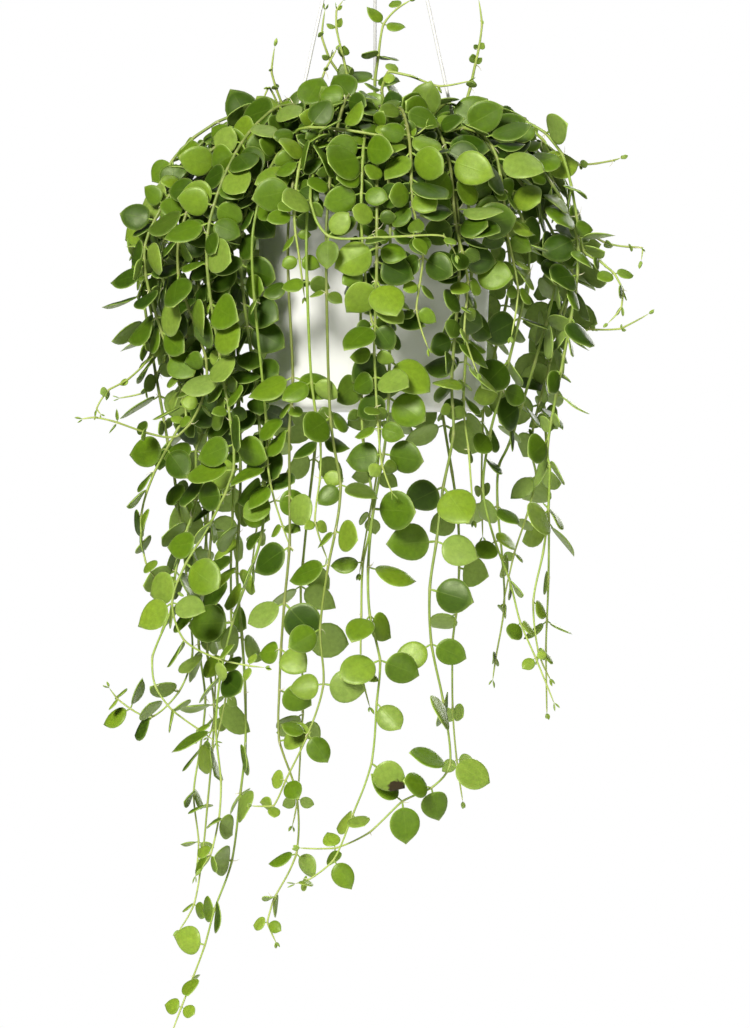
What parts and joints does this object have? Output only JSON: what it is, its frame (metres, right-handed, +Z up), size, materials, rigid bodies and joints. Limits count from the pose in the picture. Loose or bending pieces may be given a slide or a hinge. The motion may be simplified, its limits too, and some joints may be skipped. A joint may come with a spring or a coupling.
{
  "type": "potted dischidia",
  "caption": "Trailing house plant with round fleshy leaves in pairs on long thin stems, in a white hanging pot filled with potting mix, with a wire hanger and a hook.",
  "frame": {"origin": "the point inside the top of the hook where it hangs on its support, on the axis of the pot, 290 mm above the middle of the pot's rim", "axes": "+Z is up along the pot's axis, +X is to the right and +Y is away from the viewer in the picture's view"},
  "size_m": [0.3374, 0.2619, 0.7964],
  "materials": {
    "leaf": "fleshy leaf skin with a soft gloss and a paler margin",
    "potting_mix": "loose brown bark and peat mix, matt",
    "pot_plastic": "white satin moulded plastic",
    "white_wire": "steel wire with a smooth white coating"
  },
  "bodies": {
    "root": {"pot": "pot_plastic", "soil": "potting_mix", "hanger_hub": "pot_plastic", "hanger_wire_1": "white_wire", "hanger_wire_2": "white_wire", "hanger_wire_3": "white_wire", "hanger_hook": "white_wire", "strand_left_1": "leaf", "strand_left_2": "leaf", "strand_left_3": "leaf", "strand_left_4": "leaf", "strand_left_5": "leaf", "strand_left_6": "leaf", "strand_left_7": "leaf", "strand_left_8": "leaf", "strand_left_9": "leaf", "strand_left_10": "leaf", "strand_left_11": "leaf", "strand_middle_1": "leaf", "strand_middle_2": "leaf", "strand_middle_3": "leaf", "strand_middle_4": "leaf", "strand_middle_5": "leaf", "strand_middle_6": "leaf", "strand_right_1": "leaf", "strand_right_2": "leaf", "strand_right_3": "leaf", "strand_right_4": "leaf", "strand_right_5": "leaf", "strand_right_6": "leaf", "tendril_right_1": "leaf", "tendril_right_2": "leaf", "tendril_right_3": "leaf", "tendril_right_4": "leaf", "tendril_left_1": "leaf", "tendril_left_2": "leaf", "shoot_front_1": "leaf", "shoot_front_2": "leaf", "shoot_front_3": "leaf", "shoot_front_4": "leaf", "shoot_front_5": "leaf", "shoot_top_1": "leaf", "shoot_top_2": "leaf", "shoot_top_3": "leaf", "shoot_top_4": "leaf", "shoot_top_5": "leaf", "shoot_top_6": "leaf", "shoot_top_7": "leaf", "shoot_top_8": "leaf", "runner_front_1": "leaf", "runner_front_2": "leaf", "shoot_crown_1": "leaf", "shoot_crown_2": "leaf", "strand_back_1": "leaf", "strand_back_2": "leaf", "strand_back_3": "leaf", "strand_back_4": "leaf", "strand_back_5": "leaf", "strand_back_6": "leaf", "strand_back_7": "leaf"}
  },
  "joints": []
}
